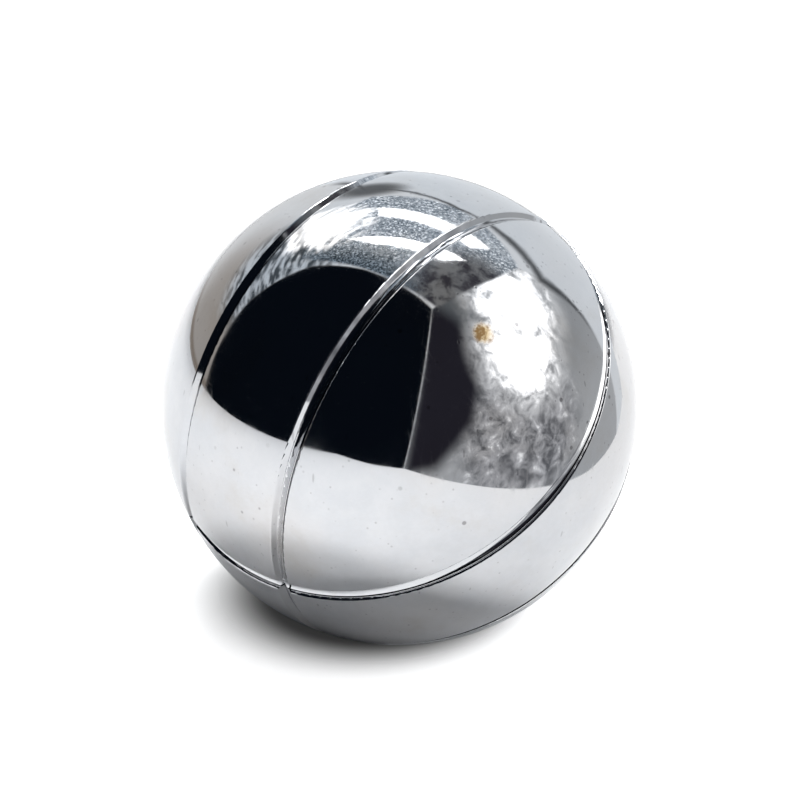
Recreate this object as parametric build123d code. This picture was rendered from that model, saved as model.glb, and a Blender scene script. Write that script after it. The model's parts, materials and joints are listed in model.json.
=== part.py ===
"""A metal maze ball puzzle: a ball cut into nine bars that slide along one common axis.

The bars are modelled in the puzzle's own axes and turned into the resting attitude at the end:
  z' is the sliding axis, x' points west and y' points north, as seen along the sliding axis.
Four flat cuts, two across x' and two across y', part the core bar, four side bars and four corner bars.
Units are millimetres. The origin is the centre of the ball, and +Z is up.
"""

import os
from math import asin, cos, degrees, atan2, pi, radians, sin

from build123d import *

# The ball and its four cuts
ball_radius = 30.0
cut_offset = 8.2            # distance of each cut from the centre
running_gap = 0.24          # space between neighbouring bars

# The ring groove on the high side of each cut, measured along the ball's surface from the
# cut's middle, and below that surface
lip_radius = 0.30           # rounded lip on the low side of the cut
shelf_depth = 0.28          # the groove's edge at the gap
shelf_break = 0.05          # softening of that edge
valley_place = 0.92
valley_depth = 0.60
valley_round = 0.04         # softening of the valley's crease
hollow = 0.06               # how far the slope up to the shelf bows inwards
groove_edge = 1.50          # where the steep wall would meet the surface
edge_round = 0.14           # softening of that edge, along each face

# Travel either way from rest, along the sliding axis
core_travel = 14.0
side_travel = 4.0
corner_travel = 6.0

# Guide pins and their maze tracks in the core bar
pin_radius = 1.25
pin_reach = 1.80            # into the core bar
pin_seat = 6.50             # into the side bar
pin_chamfer = 0.20
track_clearance = 0.10
track_depth = 2.10
track_side_step = 4.0       # how far a dead end steps sideways

# Loose maze ball between the core bar and the south bar
maze_ball_radius = 1.50
maze_ball_clearance = 0.08
maze_ball_travel = 3.50     # either way, across the sliding axis

# Dead ends of the maze tracks: the height where each leaves the main leg, which side it turns
# to, and the height where it ends
pin_dead_ends = [(-12, 1, -7), (-3, -1, 4), (6, 1, 1), (13, -1, 9)]
ball_dead_ends = [(-10, 1, -4), (-3, -1, 3), (9, -1, 14)]

# Headed link studs and their blind T-slots
stud_radius = 1.50
stud_head_radius = 2.60
stud_seat = 5.0
stud_distance = 17.0        # from the ball's centre, along the cut face
slot_clearance = 0.10
slot_neck_depth = 2.2
slot_floor_depth = 4.5
head_start = 2.4
head_end = 4.2
head_chamfer = 0.25

# Spring detents in the corner bars
detent_radius = 1.25
detent_proud = 0.70         # how far a detent ball stands out of the corner bar's face
detent_distance = 22.5
detent_bore_depth = 6.2
detent_clearance = 0.06
detent_groove_clearance = 0.12
spring_coil_radius = 0.95
spring_wire_radius = 0.15
spring_turns = 6
spring_start = 0.27         # the first coil's middle, beyond where it would touch the ball
spring_end_clearance = 0.02

# Resting attitude
slide_azimuth = 38.66       # heading of the sliding axis, from +X
slide_elevation = 40.66     # slope of the sliding axis above the horizontal
slide_roll = 15.54           # turn of the bundle about the sliding axis

half_gap = running_gap / 2
core_face = cut_offset - half_gap
outer_face = cut_offset + half_gap
overcut = 1.0               # how far a cutter starts outside the face it cuts
beyond = ball_radius + 2

sides = {"west": (1, 0), "east": (-1, 0), "north": (0, 1), "south": (0, -1)}
corners = {
    "northwest": (1, 1),
    "northeast": (-1, 1),
    "southwest": (1, -1),
    "southeast": (-1, -1),
}


def block(low, high):
    """A box between two opposite corners."""
    size = [b - a for a, b in zip(low, high)]
    middle = [(a + b) / 2 for a, b in zip(low, high)]
    return Pos(*middle) * Box(*size)


def on_ball(offset, along, below=0.0):
    """A profile point beside the cut at x' = offset: how far along the surface, and how far below it."""
    angle = asin(offset / ball_radius) + along / ball_radius
    radius = ball_radius - below
    return radius * sin(angle), radius * cos(angle)


def seam_profile(offset, lift=0.0):
    """The rounded lip, the mouth of the gap and the groove of one cut, as a profile.

    The groove has a steep wall on its outer side and a hollow slope up to the gap. The two
    ends of the profile lie on the ball's surface, or stand above it by lift.
    """
    diagonal = cos(pi / 4)
    lip_turn = lip_radius * (1 - diagonal)
    edge_turn = edge_round * (1 - diagonal) * 0.7
    bow_place = (half_gap + valley_place - hollow * diagonal) / 2
    bow_depth = (shelf_depth + valley_depth) / 2 + hollow
    lip = ThreePointArc(
        on_ball(offset, -half_gap - lip_radius, -lift),
        on_ball(offset, -half_gap - lip_turn, lip_turn),
        on_ball(offset, -half_gap, lip_radius),
    )
    mouth = Polyline(
        on_ball(offset, -half_gap, lip_radius),
        on_ball(offset, half_gap, shelf_depth + shelf_break),
        on_ball(offset, half_gap + shelf_break, shelf_depth),
    )
    slope = ThreePointArc(
        on_ball(offset, half_gap + shelf_break, shelf_depth),
        on_ball(offset, bow_place, bow_depth),
        on_ball(offset, valley_place - valley_round, valley_depth),
    )
    wall = Polyline(
        on_ball(offset, valley_place - valley_round, valley_depth),
        on_ball(offset, valley_place + valley_round, valley_depth - valley_round / 2),
        on_ball(offset, groove_edge - edge_round * diagonal, edge_round * diagonal),
    )
    edge = ThreePointArc(
        on_ball(offset, groove_edge - edge_round * diagonal, edge_round * diagonal),
        on_ball(offset, groove_edge + edge_turn / 2, edge_turn),
        on_ball(offset, groove_edge + edge_round, -lift),
    )
    return lip + mouth + slope + wall + edge


def ball_arc(start, end):
    """The part of the ball's round profile between two of its points."""
    first, last = asin(start[0] / ball_radius), asin(end[0] / ball_radius)
    middle = (first + last) / 2
    return ThreePointArc(start, (ball_radius * sin(middle), ball_radius * cos(middle)), end)


def grooved_ball():
    """The whole ball with the ring grooves of the two cuts across x'."""
    pole = (ball_radius, 0)
    low, high = seam_profile(-cut_offset), seam_profile(cut_offset)
    outline = ball_arc((-ball_radius, 0), ends(low)[0]) + low
    outline += ball_arc(ends(low)[1], ends(high)[0]) + high
    outline += ball_arc(ends(high)[1], pole)
    outline += Line(pole, (-ball_radius, 0))
    return revolve(make_face(outline), Axis.X)


def ends(curve):
    """The two ends of a profile, in order along x'."""
    return [(point.X, point.Y) for point in (curve @ 0, curve @ 1)]


def seam_ring(offset):
    """A ring to cut away at the cut y' = offset."""
    lift = 0.03
    clear = 1.0
    profile = seam_profile(offset, lift)
    first, last = ends(profile)
    start, finish = -half_gap - lip_radius, groove_edge + edge_round
    outside = Polyline(
        last, on_ball(offset, finish, -clear), on_ball(offset, start, -clear), first
    )
    return Rot(0, 0, 90) * revolve(make_face(profile + outside), Axis.X)


def span(index):
    """The space between the cuts across one axis: index -1, 0 or 1."""
    if index == 0:
        return -core_face, core_face
    return (outer_face, beyond) if index > 0 else (-beyond, -outer_face)


def bar(ball, index_x, index_y):
    """One of the nine bars of the ball."""
    low_x, high_x = span(index_x)
    low_y, high_y = span(index_y)
    shape = ball & block((low_x, low_y, -beyond), (high_x, high_y, beyond))
    for row in (1, -1):
        if index_y in (0, row):
            shape -= seam_ring(row * cut_offset)
    return shape


def slot(points, width, low, high):
    """A slot that follows points (across, along z') on a face square to x', from x' = low to high."""
    cutter = Part()
    for start, end in zip(points, points[1:]):
        across, along = end[0] - start[0], end[1] - start[1]
        middle = Pos((start[0] + end[0]) / 2, (start[1] + end[1]) / 2)
        length = (across**2 + along**2) ** 0.5
        leg = SlotCenterToCenter(length, width, rotation=degrees(atan2(along, across)))
        cutter += extrude(Plane.YZ.offset(low) * middle * leg, high - low)
    return cutter


def rod(radius, low, high, distance=0.0):
    """A round rod along x' between low and high, at y' = distance."""
    middle = Pos((low + high) / 2, distance, 0)
    return middle * Rot(0, 90, 0) * Cylinder(radius, high - low)


def turned(shape, side):
    """A shape made for the west side, turned about z' to another side."""
    x, y = sides[side]
    return Rot(0, 0, degrees(atan2(y, x))) * shape


def in_corner(shape, corner, swapped=False):
    """A shape made for the northwest corner's x' face, moved to another corner, or to its y' face."""
    if swapped:
        shape = mirror(shape, Plane(origin=(0, 0, 0), z_dir=(1, -1, 0)))
    x, y = corners[corner]
    if x < 0:
        shape = mirror(shape, Plane.YZ)
    if y < 0:
        shape = mirror(shape, Plane.XZ)
    return shape


def dead_ends(places, slope=0.0):
    """The dead ends of a maze track whose main leg moves across by slope times its height."""
    step = track_side_step
    return [
        [(slope * leave, leave), (turn * step, leave), (turn * step, end)]
        for leave, turn, end in places
    ]


def pin_track():
    """Maze track for a guide pin: a trunk along z' with dead ends on both sides."""
    reach = core_travel + side_travel
    legs = [[(0, -reach), (0, reach)]] + dead_ends(pin_dead_ends)
    width = 2 * (pin_radius + track_clearance)
    return sum((slot(leg, width, core_face - track_depth, beyond) for leg in legs), Part())


def ball_track():
    """Maze track for the loose ball: a slanted main leg with dead ends."""
    end = maze_ball_travel
    legs = [[(-end, -core_travel), (end, core_travel)]]
    legs += dead_ends(ball_dead_ends, end / core_travel)
    width = 2 * (maze_ball_radius + maze_ball_clearance)
    low = cut_offset - maze_ball_radius - maze_ball_clearance
    return sum((slot(leg, width, low, beyond) for leg in legs), Part())


def core_bar(ball):
    """The square core bar with a maze track in each of its four faces."""
    core = bar(ball, 0, 0)
    for side in ("west", "north", "east"):
        core -= turned(pin_track(), side)
    return core - turned(ball_track(), "south")


def guide_pin():
    """A dowel pin for the west side, with chamfered ends."""
    pin = rod(pin_radius, core_face - pin_reach, outer_face + pin_seat)
    return chamfer(pin.edges().filter_by(GeomType.CIRCLE), pin_chamfer)


def link_stud():
    """A headed stud from the north bar into the northwest corner bar's T-slot."""
    shank = rod(stud_radius, core_face - stud_seat, cut_offset + head_start, stud_distance)
    head = rod(stud_head_radius, cut_offset + head_start, cut_offset + head_end, stud_distance)
    head = chamfer(head.edges().filter_by(GeomType.CIRCLE), head_chamfer)
    return shank + head


def side_bar(ball, side):
    """A side bar with its stud holes, and a pin hole or the maze ball's cross slot."""
    body = bar(ball, *sides[side])
    stud_hole = rod(stud_radius, core_face - stud_seat, cut_offset, stud_distance)
    for corner in touching_corners(side):
        body -= in_corner(stud_hole, corner, swapped=side in ("west", "east"))
    if side == "south":
        travel = maze_ball_travel
        width = 2 * (maze_ball_radius + maze_ball_clearance)
        floor = cut_offset + maze_ball_radius + maze_ball_clearance
        body -= turned(slot([(-travel, 0), (travel, 0)], width, cut_offset - overcut, floor), side)
    else:
        body -= turned(rod(pin_radius, cut_offset, outer_face + pin_seat), side)
    if side in ("north", "south"):
        for corner in touching_corners(side):
            body -= in_corner(detent_groove(), corner)
    return body


def touching_corners(side):
    """The two corners beside a side bar."""
    return [corner for corner in corners if side in corner]


def t_slot():
    """The blind T-slot that a stud's head runs in, for the northwest corner bar's x' face."""
    reach = side_travel + corner_travel
    line = [(stud_distance, -reach), (stud_distance, reach)]
    neck_width = 2 * (stud_radius + slot_clearance)
    head_width = 2 * (stud_head_radius + slot_clearance)
    neck = slot(line, neck_width, cut_offset - overcut, cut_offset + slot_neck_depth)
    head = slot(line, head_width, cut_offset + slot_neck_depth, cut_offset + slot_floor_depth)
    return neck + head


def detent_centre():
    """Distance of the detent ball's centre beyond the cut."""
    return outer_face + detent_radius - detent_proud


def detent_groove():
    """The round-bottomed groove that a detent ball runs in, in the north or south bar."""
    reach = side_travel + corner_travel
    radius = detent_radius + detent_groove_clearance
    groove = Cylinder(radius, 2 * reach) + Pos(0, 0, reach) * Sphere(radius)
    groove += Pos(0, 0, -reach) * Sphere(radius)
    return Pos(detent_centre(), detent_distance, 0) * groove


def corner_bar(ball, corner):
    """A corner bar with its two T-slots and its detent bore."""
    body = bar(ball, *corners[corner])
    bore_radius = detent_radius + detent_clearance
    bore = rod(bore_radius, cut_offset, outer_face + detent_bore_depth, detent_distance)
    body -= in_corner(t_slot(), corner)
    body -= in_corner(t_slot(), corner, swapped=True)
    return body - in_corner(bore, corner)


def detent_ball():
    """The detent ball of the northwest corner bar."""
    return Pos(detent_centre(), detent_distance, 0) * Sphere(detent_radius)


def detent_spring():
    """The coil spring behind the northwest detent ball."""
    touch = (detent_radius**2 - spring_coil_radius**2) ** 0.5
    start = detent_centre() + touch + spring_start
    end = outer_face + detent_bore_depth - spring_wire_radius - spring_end_clearance
    height = end - start
    path = Helix(height / spring_turns, height, spring_coil_radius)
    wire = Plane(origin=path @ 0, z_dir=path % 0) * Circle(spring_wire_radius)
    coil = sweep(wire, path=path, is_frenet=True)
    return Pos(start, detent_distance, 0) * Rot(0, 90, 0) * coil


def maze_ball():
    """The loose ball between the core bar and the south bar."""
    return Pos(0, -cut_offset, 0) * Sphere(maze_ball_radius)


def resting_attitude():
    """Turns the puzzle's own axes into the frame that it rests in."""
    heading, slope, roll = radians(slide_azimuth), radians(slide_elevation), radians(slide_roll)
    slide = Vector(cos(heading) * cos(slope), sin(heading) * cos(slope), sin(slope))
    level = Vector(-sin(heading), cos(heading), 0)
    west = level * cos(roll) + slide.cross(level) * sin(roll)
    return Plane(origin=(0, 0, 0), x_dir=west, z_dir=slide).location


def make_pieces():
    """Every piece by name, in the puzzle's own axes."""
    ball = grooved_ball()
    pieces = {"core_bar": core_bar(ball), "maze_ball": maze_ball()}
    for side in sides:
        pieces[f"{side}_segment"] = side_bar(ball, side)
        if side != "south":
            pieces[f"{side}_guide_pin"] = turned(guide_pin(), side)
        swapped = side in ("west", "east")
        for corner in touching_corners(side):
            toward = corner.replace(side, "")
            pieces[f"{side}_stud_{toward}"] = in_corner(link_stud(), corner, swapped)
    for corner in corners:
        pieces[f"{corner}_segment"] = corner_bar(ball, corner)
        pieces[f"{corner}_detent_ball"] = in_corner(detent_ball(), corner)
        pieces[f"{corner}_detent_spring"] = in_corner(detent_spring(), corner)
    return pieces


os.makedirs("parts", exist_ok=True)
attitude = resting_attitude()
for name, piece in make_pieces().items():
    export_step(attitude * piece, f"parts/{name}.step")
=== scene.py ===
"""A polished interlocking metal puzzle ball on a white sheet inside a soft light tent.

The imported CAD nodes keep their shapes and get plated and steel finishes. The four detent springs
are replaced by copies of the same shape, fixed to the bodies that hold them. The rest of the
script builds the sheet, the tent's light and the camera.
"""

import json
import math

import bpy
from mathutils import Matrix, Vector

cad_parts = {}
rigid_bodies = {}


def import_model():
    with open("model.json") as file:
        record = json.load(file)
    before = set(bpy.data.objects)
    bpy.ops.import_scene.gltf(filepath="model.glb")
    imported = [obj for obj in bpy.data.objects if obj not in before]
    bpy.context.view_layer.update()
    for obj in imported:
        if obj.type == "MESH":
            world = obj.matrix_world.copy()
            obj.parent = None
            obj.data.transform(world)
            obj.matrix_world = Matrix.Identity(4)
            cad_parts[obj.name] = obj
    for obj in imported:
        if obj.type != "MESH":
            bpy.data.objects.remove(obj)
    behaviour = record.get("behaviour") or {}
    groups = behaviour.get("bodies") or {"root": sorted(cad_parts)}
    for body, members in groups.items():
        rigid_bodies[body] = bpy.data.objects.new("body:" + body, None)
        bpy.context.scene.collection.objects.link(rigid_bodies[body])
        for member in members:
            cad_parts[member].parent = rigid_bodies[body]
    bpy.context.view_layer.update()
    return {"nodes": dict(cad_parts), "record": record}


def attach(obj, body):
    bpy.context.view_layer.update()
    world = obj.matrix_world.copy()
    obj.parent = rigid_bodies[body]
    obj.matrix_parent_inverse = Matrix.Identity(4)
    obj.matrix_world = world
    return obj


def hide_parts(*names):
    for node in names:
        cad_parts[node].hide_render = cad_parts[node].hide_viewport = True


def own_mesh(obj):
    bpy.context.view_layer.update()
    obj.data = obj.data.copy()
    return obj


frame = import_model()


def direction(azimuth, elevation):
    """The way to look from the ball: azimuth 0 is straight back from the camera, 90 is right."""
    a, e = math.radians(azimuth), math.radians(elevation)
    return Vector((math.sin(a) * math.cos(e), math.cos(a) * math.cos(e), math.sin(e)))


def grey(level, blue=0.0):
    """A grey of this brightness, with this share moved from red to blue."""
    return (level * (1 - blue), level, level * (1 + blue), 1)


# ---- the ball, in metres ----------------------------------------------------------------
BALL_RADIUS = 0.030
CUT_OFFSET = 0.0082  # each of the four cuts lies this far from the middle
GROOVE_DEPTH = 0.0006
SKIN = 0.000025  # faces within this of the ball's radius are its outer surface
INNER_FROM = BALL_RADIUS - 1.6 * GROOVE_DEPTH  # the colour is darker and the metal rougher from here inwards
INNER_TO = BALL_RADIUS - 1.25 * GROOVE_DEPTH  # and like the outer surface from here outwards
SEAM_WORN = 0.0006  # the plating is most worn this near a cut
SEAM_FRESH = 0.0035  # and not worn this far from one

# The puzzle's own axes: west and north across it, square to the axis that its bars slide along.
WEST = Vector((-0.7382, 0.6432, 0.2031)).normalized()
NORTH = Vector((-0.3229, -0.6013, 0.7308)).normalized()

TARNISH = Vector((0.0091, -0.0224, 0.0178))  # a brown spot on the northeast bar
TARNISH_CORE = 0.0006  # solid brown within this radius
TARNISH_EDGE = 0.0016  # clean metal past this one
TARNISH_RAGGED = 0.0016  # how much noise moves its outline

SHELL_RELIEF = 0.00002  # the height of the shell's bump
STEEL_RELIEF = 0.00001  # the height of the turning marks

# ---- camera -----------------------------------------------------------------------------
CAMERA_ELEVATION = math.radians(22)
CAMERA_DISTANCE = 0.186
CAMERA_NEAR, CAMERA_FAR = 0.01, 50
LENS = 65.4
SENSOR = 36.0
SHIFT = (0.000625, 0.009375)

# ---- floor and lamp -----------------------------------------------------------------------
FLOOR_REACH = 6.0
# The sheet's cut edge runs past the ball's right side, beyond the camera's view.
SHEET_FRONT = -1.7
SHEET_EDGE = [(-0.9, SHEET_FRONT), (-0.11, -0.51), (0.015, -0.367), (0.053, -0.2), (0.072, -0.115)]
SHEET_EDGE += [(0.084, -0.05), (0.092, -0.01), (0.112, 0.04), (0.16, 0.1), (0.6, 0.5)]
PAPER_WARM = (0.91, 0.905, 0.90, 1)
PAPER_COOL = grey(0.93)
# painted shadow: the paper's colour close around the ball's rest place
PAPER_PAINTED_SHADE = (0.09, 0.115, 0.135, 1)
PAPER_ROUGHNESS = 0.4
SHADE_DEEPEST = 0.035  # what the painted contact shadow leaves of the sheet's brightness
PAINTED_SHADE_SIDE = (155, 55)  # the side that the made-up light of the sheet's painted contact shadow comes from; no lamp stands there
GLARE = 0.85  # painted light: emission added to the sheet for camera rays only, making it brighter to the camera than its lighting does

SOFTBOX_WATTS = 5.6
SOFTBOX_SIZE = 0.28
SOFTBOX_AWAY = 0.9
SOFTBOX_PLACE = (44, 60)

# ---- the light tent -------------------------------------------------------------------------
# Corners of each panel, as azimuth and elevation in degrees, seen from the ball.
OPENING = [(-75, 0), (-70, 30), (-68, 62), (-90, 77), (-154, 83), (157, 75), (146, 65), (178, -6)]
BACK_WALL = [(-8, -30), (-8, 38), (20, 41), (61, 43), (57, -30)]
RIGHT_WALL = [(57, -40), (61, 43), (146, 65), (178, -6), (170, -40), (120, -50)]
CEILING = [(-60, 50), (-8, 38), (20, 41), (61, 42), (81, 54), (144, 64), (180, 80), (-90, 75)]
SLATE = [(148, 68), (134, 56), (132, 38), (146, 12), (164, -6), (178, -8)]
LAMP_NEAR = [(-38, 64), (-30, 73), (66, 73), (66, 65)]
LAMP_FAR = [(-9, 49), (-11, 56), (52, 59), (52, 51)]

# Places on the walls and the ceiling, the same way.
LOW_LEFT = (-62, 10)
HIGH_LEFT = (-60, 42)
LEFT_GLARE = (-33, 49)
CREASED_SIDE = (122, 2)
WALL_GLOW = ((88, 44), (108, 31))
DULL_CEILING = (105, 62)
FOLD_CORNER = (62, 44)
FOLD_SMEAR = (-7, 30)
HEM_LIT = (170, 25)

# Light from each part. More than 1 is brighter than white cloth.
CLOTH_LOW, CLOTH_HIGH = grey(0.85, 0.02), grey(1.0, 0.04)
CLOTH_BROWN = (0.46, 0.43, 0.40, 1)
STREAK_DARK, STREAK_PALE = grey(0.10, 0.16), grey(0.80, 0.08)
SKIRTING = (0.20, 0.15, 0.11, 1)
BACK_CLOTH = grey(0.96, 0.05)
SILVER_LOW, SILVER_HIGH = grey(0.56, 0.04), grey(0.43, 0.05)
CREASE_DARK, CREASE_PALE = (0.15, 0.155, 0.17, 1), (0.62, 0.63, 0.66, 1)
CREASE_GLINT = grey(1.6, 0.02)
SILVER_TOP = grey(0.16, 0.10)
SLATE_DARK = (0.022, 0.021, 0.030, 1)
HALO_PALE, GLOW_BRIGHT = grey(1.05, 0.02), grey(3.2, 0.01)
FOIL_DARK, FOIL_PALE, FOIL_GLINT = grey(0.17, 0.22), grey(0.80, 0.10), grey(2.6, 0.04)
DULL_DARK, DULL_PALE = grey(0.035, 0.30), grey(0.60, 0.20)
FAR_DARK, FAR_PALE = (0.05, 0.048, 0.06, 1), grey(0.26, 0.03)
LAMP_NEAR_LIGHT, LAMP_FAR_LIGHT = grey(24.0), grey(6.0)
LEFT_GLARE_LIGHT = grey(2.6)
FOLD_DARK = grey(0.05, 0.1)
OPEN_DARK = (0.003, 0.0048, 0.0085, 1)
HEM_PALE = grey(1.0, 0.02)
CAMERA_SKY = grey(1.3)  # what the camera sees past the floor


class Nodes:
    """A short way to write a node tree: each call adds one node and returns its output."""

    def __init__(self, tree):
        self.tree = tree
        tree.nodes.clear()

    def add(self, kind, inputs=None, output=0, **settings):
        node = self.tree.nodes.new(kind)
        for key, value in settings.items():
            setattr(node, key, value)
        for key, value in (inputs or {}).items():
            self.set(node, key, value)
        return node.outputs[output]

    def set(self, node, key, value):
        socket = node.inputs[key]
        if isinstance(value, bpy.types.NodeSocket):
            self.tree.links.new(value, socket)
        else:
            socket.default_value = value

    def finish(self, kind, shader):
        self.set(self.tree.nodes.new(kind), "Surface", shader)

    def math(self, operation, a, b=0.0):
        return self.add("ShaderNodeMath", {0: a, 1: b}, operation=operation)

    def times(self, a, b):
        return self.math("MULTIPLY", a, b)

    def plus(self, a, b):
        return self.math("ADD", a, b)

    def minus(self, a, b):
        return self.math("SUBTRACT", a, b)

    def apart(self, a, b):
        """How far a is from b, either way."""
        return self.math("ABSOLUTE", self.minus(a, b))

    def sway(self, noise, amount):
        """A noise moved to swing evenly about 0, by up to half of amount."""
        return self.times(self.minus(noise, 0.5), amount)

    def dot(self, a, b):
        inputs = {0: a, 1: tuple(b)}
        return self.add("ShaderNodeVectorMath", inputs, "Value", operation="DOT_PRODUCT")

    def facing(self, look, place):
        """The cosine of the angle between a look and an (azimuth, elevation) place."""
        return self.dot(look, direction(*place))

    def length(self, vector):
        return self.add("ShaderNodeVectorMath", {0: vector}, "Value", operation="LENGTH")

    def step(self, value, low, high, out_low=0.0, out_high=1.0):
        """value, eased from out_low at low to out_high at high."""
        return self.add(
            "ShaderNodeMapRange",
            {"Value": value, 1: low, 2: high, 3: out_low, 4: out_high},
            interpolation_type="SMOOTHSTEP",
        )

    def mix(self, factor, a, b):
        """Colour a at factor 0, colour b at factor 1."""
        return self.add("ShaderNodeMix", {0: factor, 6: a, 7: b}, 2, data_type="RGBA")

    def stretch(self, vector, scale, turn=(0.0, 0.0, 0.0), shift=(0.0, 0.0, 0.0)):
        inputs = {"Vector": vector, "Location": shift, "Rotation": turn, "Scale": scale}
        return self.add("ShaderNodeMapping", inputs)

    def noise(self, vector, scale, detail=3.0, roughness=0.5, distortion=0.0):
        return self.add(
            "ShaderNodeTexNoise",
            {
                "Vector": vector,
                "Scale": scale,
                "Detail": detail,
                "Roughness": roughness,
                "Distortion": distortion,
            },
        )

    def cells(self, vector, scale, feature):
        inputs = {"Vector": vector, "Scale": scale, "Randomness": 1.0}
        return self.add("ShaderNodeTexVoronoi", inputs, "Distance", feature=feature)


def new_material(name):
    material = bpy.data.materials.new(name)
    material.use_nodes = True
    return material, Nodes(material.node_tree)


# ---- world: what the ball mirrors -----------------------------------------------------------
def panel_field(g, look, corners):
    """How far inside a tent panel a direction is: the sine of its angle to the nearest edge."""
    points = [direction(*corner) for corner in corners]
    middle = sum(points, Vector()).normalized()
    field = None
    for a, b in zip(points, points[1:] + points[:1]):
        normal = a.cross(b).normalized()
        if normal.dot(middle) < 0:
            normal.negate()
        inside = g.dot(look, normal)
        field = inside if field is None else g.math("MINIMUM", field, inside)
    return field


def cloth_walls(g, look, up):
    """Pale high up, brown low at the left with a skirting line, and streaked above that."""
    colour = g.mix(g.step(up, -0.05, 0.6), CLOTH_LOW, CLOTH_HIGH)
    left = g.step(g.facing(look, LOW_LEFT), 0.75, 0.98)
    colour = g.mix(left, colour, CLOTH_BROWN)
    streaks = g.noise(g.stretch(look, (3.0, 3.0, 14.0), (0.5, 0.2, 0.9)), 3.0, 4.0)
    streaks = g.step(streaks, 0.40, 0.60)
    high_left = g.step(g.facing(look, HIGH_LEFT), 0.87, 0.96)
    colour = g.mix(high_left, colour, g.mix(streaks, STREAK_DARK, STREAK_PALE))
    skirting = g.step(g.apart(up, 0.015), 0.0, 0.03, 0.7, 0.0)
    return g.mix(g.times(skirting, left), colour, SKIRTING), streaks


def silver_wall(g, look, up, creased):
    """Smooth beside the back wall, creased nearer the front, with a lamp's glow behind it."""
    crumple = g.step(g.facing(look, CREASED_SIDE), 0.76, 0.95)
    smooth = g.mix(g.step(up, -0.1, 0.4), SILVER_LOW, SILVER_HIGH)
    creases = g.mix(g.step(creased, 0.36, 0.62), CREASE_DARK, CREASE_PALE)
    creases = g.mix(g.step(creased, 0.57, 0.70), creases, CREASE_GLINT)
    silver = g.mix(crumple, smooth, creases)
    silver = g.mix(g.step(up, 0.64, 0.78), silver, SILVER_TOP)
    slate = panel_field(g, look, SLATE)
    silver = g.mix(g.step(slate, -0.10, 0.06), silver, SLATE_DARK)
    glow = g.math("MAXIMUM", *(g.facing(look, place) for place in WALL_GLOW))
    halo = g.times(g.step(glow, 0.86, 0.97), g.step(creased, 0.30, 0.60, 0.25, 1.0))
    silver = g.mix(halo, silver, HALO_PALE)
    glow = g.plus(g.sway(creased, 0.17), glow)
    return g.mix(g.step(glow, 0.935, 1.0), silver, GLOW_BRIGHT)


def foil_ceiling(g, look, creased, sparkle, opening):
    """Sparkling foil, duller towards the opening and dark at its far end."""
    foil = g.mix(g.step(sparkle, 0.38, 0.60), FOIL_DARK, FOIL_PALE)
    foil = g.mix(g.step(sparkle, 0.56, 0.66), foil, FOIL_GLINT)
    dull = g.mix(g.step(sparkle, 0.44, 0.66), DULL_DARK, DULL_PALE)
    foil = g.mix(g.step(opening, -0.30, -0.03), foil, dull)
    far_end = g.step(g.facing(look, DULL_CEILING), 0.88, 0.97)
    return g.mix(far_end, foil, g.mix(g.step(creased, 0.4, 0.6), FAR_DARK, FAR_PALE))


def tent_colour(g, look):
    up = g.dot(look, (0, 0, 1))
    creased = g.noise(look, 9.0, 6.0, 0.68, 0.5)
    sparkle = g.noise(look, 75.0, 3.0, 0.7)
    opening = panel_field(g, look, OPENING)

    colour, streaks = cloth_walls(g, look, up)
    back = panel_field(g, look, BACK_WALL)
    colour = g.mix(g.step(back, -0.01, 0.01), colour, BACK_CLOTH)
    right = panel_field(g, look, RIGHT_WALL)
    silver = silver_wall(g, look, up, creased)
    colour = g.mix(g.step(right, -0.008, 0.008), colour, silver)
    roof = panel_field(g, look, CEILING)
    foil = foil_ceiling(g, look, creased, sparkle, opening)
    colour = g.mix(g.step(roof, -0.01, 0.02), colour, foil)

    # the ceiling's two lamp strips, and the glare of a third lamp at the left
    for corners, light in ((LAMP_NEAR, LAMP_NEAR_LIGHT), (LAMP_FAR, LAMP_FAR_LIGHT)):
        ragged = g.plus(panel_field(g, look, corners), g.sway(sparkle, 0.05))
        colour = g.mix(g.step(ragged, -0.01, 0.03), colour, light)
    glare = g.plus(g.sway(streaks, 0.02), g.facing(look, LEFT_GLARE))
    colour = g.mix(g.step(glare, 0.965, 0.995), colour, LEFT_GLARE_LIGHT)

    # the fold where the back wall meets the ceiling and the right wall
    fold = g.math("ABSOLUTE", g.plus(back, g.sway(creased, 0.04)))
    width = g.step(g.facing(look, FOLD_CORNER), 0.90, 0.98, 0.028, 0.075)
    line = g.times(g.step(fold, 0.0, width, 0.9, 0.0), g.step(up, 0.05, 0.30))
    smear = g.step(g.facing(look, FOLD_SMEAR), 0.985, 0.999, 0.0, 0.85)
    colour = g.mix(g.math("MAXIMUM", line, smear), colour, FOLD_DARK)

    # the dark open front, with its pale braided hem
    colour = g.mix(g.step(opening, -0.004, 0.004), colour, OPEN_DARK)
    hem = g.step(g.apart(opening, 0.004), 0.002, 0.006, 1.0, 0.0)
    lit = g.step(g.facing(look, HEM_LIT), 0.6, 0.95, 0.15, 0.9)
    braid = g.step(g.noise(look, 150.0, 2.0), 0.42, 0.56, 0.35, 1.0)
    return g.mix(g.times(hem, g.times(lit, braid)), colour, HEM_PALE)


def build_world():
    world = bpy.data.worlds.new("light_tent")
    bpy.context.scene.world = world
    world.use_nodes = True
    g = Nodes(world.node_tree)
    look = g.add("ShaderNodeTexCoord", output="Generated")
    tent = g.add("ShaderNodeBackground", {"Color": tent_colour(g, look), "Strength": 1.0})
    plain = g.add("ShaderNodeBackground", {"Color": CAMERA_SKY, "Strength": 1.0})
    seen = g.add("ShaderNodeLightPath", output="Is Camera Ray")
    shader = g.add("ShaderNodeMixShader", {0: seen, 1: tent, 2: plain})
    g.finish("ShaderNodeOutputWorld", shader)


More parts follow.
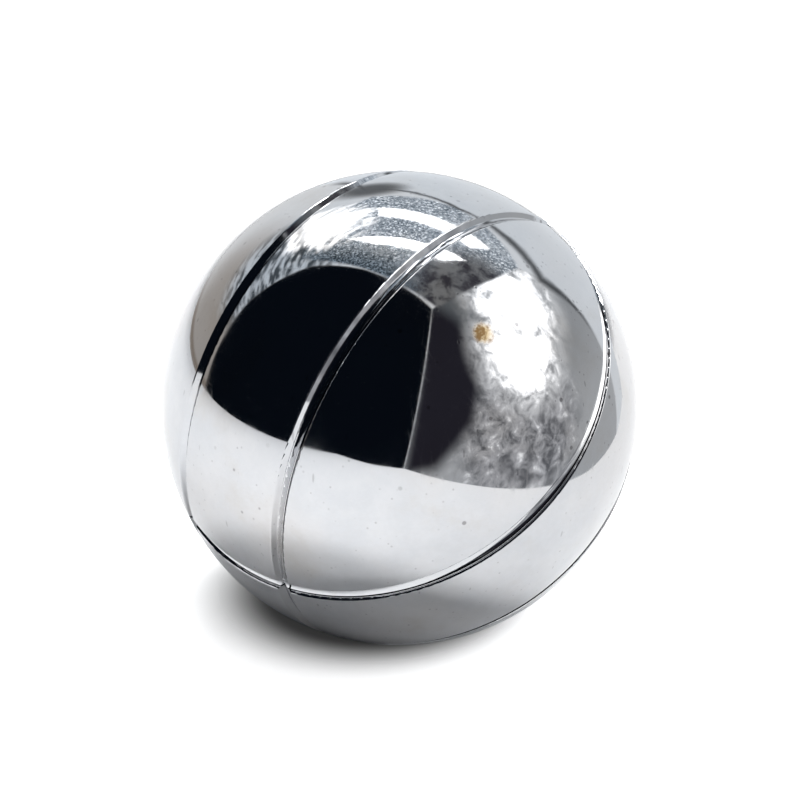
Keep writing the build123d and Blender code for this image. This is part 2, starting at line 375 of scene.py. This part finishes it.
def build_softbox():
    """The lamp over the tent's right shoulder, which lays the shadow towards the left."""
    light = bpy.data.lights.new("softbox", "AREA")
    light.energy = SOFTBOX_WATTS
    light.size = SOFTBOX_SIZE
    lamp = bpy.data.objects.new("softbox", light)
    bpy.context.scene.collection.objects.link(lamp)
    way = direction(*SOFTBOX_PLACE)
    turn = way.to_track_quat("Z", "Y").to_matrix().to_4x4()
    lamp.matrix_world = Matrix.Translation(way * SOFTBOX_AWAY) @ turn
    lamp.visible_glossy = False


# ---- the sheet the ball stands on --------------------------------------------------------
def flat_mesh(name, outline, height):
    mesh = bpy.data.meshes.new(name)
    mesh.from_pydata([(x, y, height) for x, y in outline], [], [range(len(outline))])
    obj = bpy.data.objects.new(name, mesh)
    bpy.context.scene.collection.objects.link(obj)
    return obj


def open_above(g, place):
    """How much light from the painted shadow's side the ball would leave to a place on the sheet,
    0 to 1: the mask of the sheet's painted contact shadow, not a cast one.
    """
    toward = g.times(g.facing(place, PAINTED_SHADE_SIDE), BALL_RADIUS**2)
    hidden = g.math("DIVIDE", toward, g.math("POWER", g.length(place), 3.0))
    return g.plus(hidden, 1.0)


def sheet_material():
    """White paper with the ball's contact shadow painted into its colour. For camera rays it also
    glows (painted light), so bright that only that painted shadow shows.
    """
    material, g = new_material("white_sheet")
    place = g.add("ShaderNodeTexCoord", output="Object")
    fibre = g.noise(place, 420.0, 4.0)
    paper = g.mix(g.step(fibre, 0.3, 0.7), PAPER_WARM, PAPER_COOL)
    # painted shadow: the paper's colour darkens around the ball's rest place, for the rays that
    # light and mirror it
    light = open_above(g, place)
    paper = g.mix(g.step(light, 0.26, 0.66), PAPER_PAINTED_SHADE, paper)
    # painted shadow: for camera rays the sheet's colour goes from black to white with the same
    # mask
    painted_shade = g.step(light, 0.36, 0.66, SHADE_DEEPEST, 1.0)
    painted_shadow_colour = g.mix(painted_shade, grey(0.0), grey(1.0))
    # painted light: for camera rays the sheet also glows, with the painted shadow in its glow, on
    # top of its real lighting
    glare = g.add("ShaderNodeEmission", {"Color": painted_shadow_colour, "Strength": GLARE})
    lit = g.add("ShaderNodeBsdfDiffuse", {"Color": painted_shadow_colour, "Roughness": PAPER_ROUGHNESS})
    painted_glow_and_lit = g.add("ShaderNodeAddShader", {0: glare, 1: lit})
    matt = g.add("ShaderNodeBsdfDiffuse", {"Color": paper, "Roughness": PAPER_ROUGHNESS})
    seen = g.add("ShaderNodeLightPath", output="Is Camera Ray")
    shader = g.add("ShaderNodeMixShader", {0: seen, 1: matt, 2: painted_glow_and_lit})
    g.finish("ShaderNodeOutputMaterial", shader)
    return material


def build_floor():
    """The sheet and, past its cut edge, the rest of the floor, which the ball doesn't mirror."""
    far = FLOOR_REACH
    beyond = [(far, far), (-far, far), (-far, SHEET_FRONT)]
    before = [(-far, SHEET_FRONT), (-far, -far), (far, -far), (far, far)]
    sheet = flat_mesh("sheet", SHEET_EDGE + beyond, -BALL_RADIUS)
    rest = flat_mesh("floor", SHEET_EDGE[::-1] + before, -BALL_RADIUS)
    rest.visible_glossy = False
    material = sheet_material()
    for obj in (sheet, rest):
        obj.data.materials.append(material)


# ---- finishes ------------------------------------------------------------------------------
def scratches(g, place, seed, density):
    """Fine hairlines running several ways, 1 on a line and 0 off it."""
    total = None
    for way in range(3):
        turn = (0.7 + way * 1.1, 0.4 + way * 2.3, way * 1.7)
        drawn = g.stretch(place, (1.0, 1.0, 0.045), turn, (seed, way * 3.1, 0))
        line = g.step(g.cells(drawn, density, "DISTANCE_TO_EDGE"), 0.0, 0.03, 1.0, 0.0)
        broken = g.step(g.noise(place, 90.0 + 40 * way, 2.0), 0.52, 0.66)
        line = g.times(line, broken)
        total = line if total is None else g.math("MAXIMUM", total, line)
    return total


def specks(g, place, scale, small, large):
    """Scattered dots, 1 inside and 0 outside, with their sizes as parts of their spacing."""
    return g.step(g.cells(place, scale, "F1"), small, large, 1.0, 0.0)


def round_normal(g, place, outer):
    """The true round surface's normal, free of the mesh's facets, and the mesh's own elsewhere."""
    round_way = g.add("ShaderNodeVectorMath", {0: place}, "Vector", operation="NORMALIZE")
    round_way = g.add(
        "ShaderNodeVectorTransform",
        {"Vector": round_way},
        vector_type="NORMAL",
        convert_from="OBJECT",
        convert_to="WORLD",
    )
    flat_way = g.add("ShaderNodeNewGeometry", output="Normal")
    return g.add("ShaderNodeMix", {0: outer, 4: flat_way, 5: round_way}, 1, data_type="VECTOR")


def metal(g, colour, roughness, normal):
    shader = g.add(
        "ShaderNodeBsdfPrincipled",
        {"Base Color": colour, "Metallic": 1.0, "Roughness": roughness, "Normal": normal},
    )
    g.finish("ShaderNodeOutputMaterial", shader)


def chrome():
    """Polished plating with haze, hairlines, pits, smudges and one tarnished spot."""
    material, g = new_material("plated_shell")
    place = g.add("ShaderNodeTexCoord", output="Object")
    radius = g.length(place)
    outer = g.math("GREATER_THAN", radius, BALL_RADIUS - SKIN)
    inner = g.step(radius, INNER_FROM, INNER_TO, 1.0, 0.0)

    # wear
    across = g.apart(g.math("ABSOLUTE", g.dot(place, WEST)), CUT_OFFSET)
    along = g.apart(g.math("ABSOLUTE", g.dot(place, NORTH)), CUT_OFFSET)
    seam = g.step(g.math("MINIMUM", across, along), SEAM_WORN, SEAM_FRESH, 1.0, 0.0)
    haze = g.noise(place, 240.0, 8.0, 0.7)
    cloud = g.noise(place, 38.0, 3.0)
    lines = scratches(g, place, 2.0, 420.0)
    pit = g.times(specks(g, place, 330.0, 0.06, 0.11), g.step(cloud, 0.44, 0.54))
    grit = g.times(specks(g, place, 950.0, 0.08, 0.16), g.step(haze, 0.46, 0.56))
    nicks = specks(g, g.stretch(place, (1.0, 1.0, 0.22), (0.5, 1.1, 0.2)), 520.0, 0.05, 0.09)
    pit = g.math("MAXIMUM", pit, g.times(g.math("MAXIMUM", grit, nicks), 0.55))

    # one small brown spot where the plating has tarnished
    away = g.add(
        "ShaderNodeVectorMath", {0: place, 1: tuple(TARNISH)}, "Value", operation="DISTANCE"
    )
    mottle = g.noise(place, 1100.0, 4.0, 0.65)
    away = g.plus(away, g.sway(mottle, TARNISH_RAGGED))
    spot = g.step(away, TARNISH_CORE, TARNISH_EDGE, 1.0, 0.0)

    colour = g.mix(g.step(haze, 0.35, 0.7), (0.555, 0.565, 0.585, 1), (0.60, 0.605, 0.62, 1))
    tint = g.step(g.noise(place, 48.0, 3.0), 0.38, 0.62)
    colour = g.mix(g.times(tint, 0.6), colour, (0.60, 0.588, 0.585, 1))
    smudge = g.step(g.noise(place, 75.0, 6.0, 0.65, 0.4), 0.50, 0.72, 0.0, 0.8)
    colour = g.mix(smudge, colour, (0.525, 0.505, 0.485, 1))
    colour = g.mix(g.times(pit, 0.6), colour, (0.12, 0.11, 0.11, 1))
    brown = g.mix(g.step(mottle, 0.42, 0.58), (0.26, 0.16, 0.07, 1), (0.62, 0.49, 0.30, 1))
    colour = g.mix(spot, colour, brown)
    # darker colour nearer the middle than INNER_FROM
    colour = g.mix(inner, colour, (0.43, 0.435, 0.45, 1))

    rough = g.step(haze, 0.4, 0.75, 0.03, 0.075)
    for mark, rougher in ((seam, 0.025), (lines, 0.06), (spot, 0.38), (inner, 0.22)):
        rough = g.plus(rough, g.times(mark, rougher))

    # orange peel and grain, with the hairlines and pits cut into them
    height = g.plus(g.noise(place, 55.0, 2.0), g.times(g.noise(place, 1500.0, 2.0), 0.018))
    for mark, deep in ((lines, 0.004), (pit, 0.12)):
        height = g.minus(height, g.times(mark, deep))
    bump = g.add(
        "ShaderNodeBump",
        {
            "Strength": 1.0,
            "Distance": SHELL_RELIEF,
            "Height": height,
            "Normal": round_normal(g, place, outer),
        },
    )
    metal(g, colour, rough, bump)
    return material


def steel(name, dark, light, rough, marks):
    """Bare or plated steel with fine lathe or drawing marks."""
    material, g = new_material(name)
    place = g.add("ShaderNodeTexCoord", output="Object")
    turned = g.noise(g.stretch(place, (1, 1, 9), (0.6, 0.9, 0.3)), marks, 3.0, 0.6)
    stain = g.noise(place, 260.0, 4.0, 0.6)
    colour = g.mix(g.step(stain, 0.35, 0.7), (*dark, 1), (*light, 1))
    roughness = g.step(turned, 0.3, 0.7, rough * 0.7, rough * 1.4)
    bump = g.add(
        "ShaderNodeBump", {"Strength": 0.4, "Distance": STEEL_RELIEF, "Height": turned}
    )
    metal(g, colour, roughness, bump)
    return material


def dress_nodes():
    """Give each CAD node the finish whose word its name holds."""
    plated = chrome()
    finishes = {
        "segment": plated,
        "core_bar": plated,
        "pin": steel("pin_steel", (0.42, 0.42, 0.43), (0.56, 0.56, 0.57), 0.28, 900.0),
        "stud": steel("stud_steel", (0.36, 0.36, 0.38), (0.50, 0.50, 0.52), 0.32, 800.0),
        "ball": steel("ball_steel", (0.60, 0.60, 0.62), (0.70, 0.70, 0.72), 0.10, 500.0),
        "spring": steel("spring_wire", (0.34, 0.33, 0.33), (0.50, 0.49, 0.48), 0.26, 1500.0),
    }
    for name, obj in frame["nodes"].items():
        finish = next(finishes[word] for word in finishes if word in name)
        obj.data.materials.clear()
        obj.data.materials.append(finish)


def build_springs():
    """Copies of the CAD coils, put in place of them and fixed to each joint's parent body."""
    for joint in frame["record"]["behaviour"]["joints"]:
        for soft in joint.get("deforming_nodes", []):
            way = Vector(joint["axis"])
            mesh = frame["nodes"][soft["node"]].data.copy()
            coil = bpy.data.objects.new(soft["node"] + "_coil", mesh)
            bpy.context.scene.collection.objects.link(coil)
            places = [way.dot(vertex.co) for vertex in mesh.vertices]
            middle = sum((vertex.co for vertex in mesh.vertices), Vector()) / len(places)
            seat = middle + way * (max(places) - way.dot(middle))
            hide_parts(soft["node"])
            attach(coil, joint["parent"])
            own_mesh(coil)


def build_camera():
    back = Vector((0, -math.cos(CAMERA_ELEVATION), math.sin(CAMERA_ELEVATION)))
    data = bpy.data.cameras.new("camera")
    data.lens = LENS
    data.sensor_width = SENSOR
    data.shift_x, data.shift_y = SHIFT
    data.clip_start, data.clip_end = CAMERA_NEAR, CAMERA_FAR
    camera = bpy.data.objects.new("camera", data)
    bpy.context.scene.collection.objects.link(camera)
    turn = (-back).to_track_quat("-Z", "Y").to_matrix().to_4x4()
    camera.matrix_world = Matrix.Translation(back * CAMERA_DISTANCE) @ turn
    bpy.context.scene.camera = camera


build_world()
build_softbox()
build_floor()
dress_nodes()
build_springs()
build_camera()
bpy.context.scene.view_settings.view_transform = "Standard"
